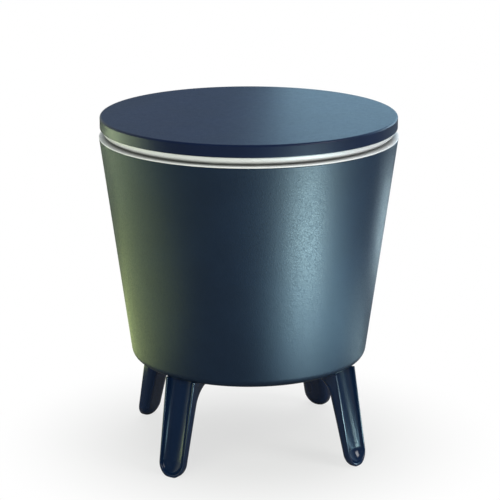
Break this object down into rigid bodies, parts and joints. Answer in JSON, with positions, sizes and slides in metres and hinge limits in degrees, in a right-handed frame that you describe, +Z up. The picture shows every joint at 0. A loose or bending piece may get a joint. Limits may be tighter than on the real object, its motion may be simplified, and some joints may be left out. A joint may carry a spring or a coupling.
{
  "type": "ice bucket coffee table",
  "caption": "Round patio table whose tapered double-walled body is an ice bucket; the top rises on a central column and locks with a twist, on splayed legs.",
  "frame": {"origin": "on the floor, under the column's axis, at the middle of the four feet", "axes": "+Z up along the column; -Y is the front, +X the right, and the drain is towards +Y"},
  "size_m": [0.498, 0.498, 0.573],
  "materials": {
    "body_navy": "satin fine texture",
    "leg_navy": "semi-gloss",
    "white_plastic": "smooth",
    "drain_white": "smooth",
    "acetal": "smooth",
    "screw_steel": "plain",
    "seal_rubber": "matt"
  },
  "bodies": {
    "bucket": {"collar_screw_1": "screw_steel", "collar_screw_2": "screw_steel", "collar_screw_3": "screw_steel", "drain_locknut": "drain_white", "drain_seal": "seal_rubber", "drain_spout": "drain_white", "guide_collar": "white_plastic", "guide_screw_1": "screw_steel", "guide_screw_2": "screw_steel", "guide_screw_3": "screw_steel", "guide_screw_4": "screw_steel", "guide_tube": "acetal", "inner_liner": "white_plastic", "leg_back_left": "leg_navy", "leg_back_left_screw_1": "screw_steel", "leg_back_left_screw_2": "screw_steel", "leg_back_right": "leg_navy", "leg_back_right_screw_1": "screw_steel", "leg_back_right_screw_2": "screw_steel", "leg_front_left": "leg_navy", "leg_front_left_screw_1": "screw_steel", "leg_front_left_screw_2": "screw_steel", "leg_front_right": "leg_navy", "leg_front_right_screw_1": "screw_steel", "leg_front_right_screw_2": "screw_steel", "liner_floor": "white_plastic", "outer_bucket": "body_navy"},
    "column_glide": {"column_glide": "acetal"},
    "top": {"tabletop": "body_navy", "lid_tray": "white_plastic", "lift_column": "white_plastic", "column_end_plug": "acetal", "column_screw_1": "screw_steel", "column_screw_2": "screw_steel", "column_screw_3": "screw_steel", "column_screw_4": "screw_steel", "tray_screw_1": "screw_steel", "tray_screw_2": "screw_steel", "tray_screw_3": "screw_steel", "tray_screw_4": "screw_steel", "tray_screw_5": "screw_steel", "tray_screw_6": "screw_steel"},
    "drain_gasket": {"drain_cap_gasket": "seal_rubber"},
    "drain_cap": {"drain_cap": "drain_white"}
  },
  "joints": [
    {"name": "top_lift", "type": "slide", "parent": "bucket", "child": "column_glide", "axis": [0, 0, 1], "range_m": [0, 0.27]},
    {"name": "twist_lock", "type": "hinge", "parent": "column_glide", "child": "top", "pos_m": [0, 0, 0.3], "axis": [0, 0, -1], "range_deg": [0, 45]},
    {"name": "drain_travel", "type": "slide", "parent": "bucket", "child": "drain_gasket", "axis": [0, 0, -1], "range_m": [0, 0.006]},
    {"name": "drain_turn", "type": "hinge", "parent": "drain_gasket", "child": "drain_cap", "pos_m": [0, 0.105, 0.145], "axis": [0, 0, -1], "range_deg": [0, 720]}
  ],
  "couplings": [
    {"joint": "drain_travel", "follows": "drain_turn", "m_per_rad": 0.00047746}
  ]
}
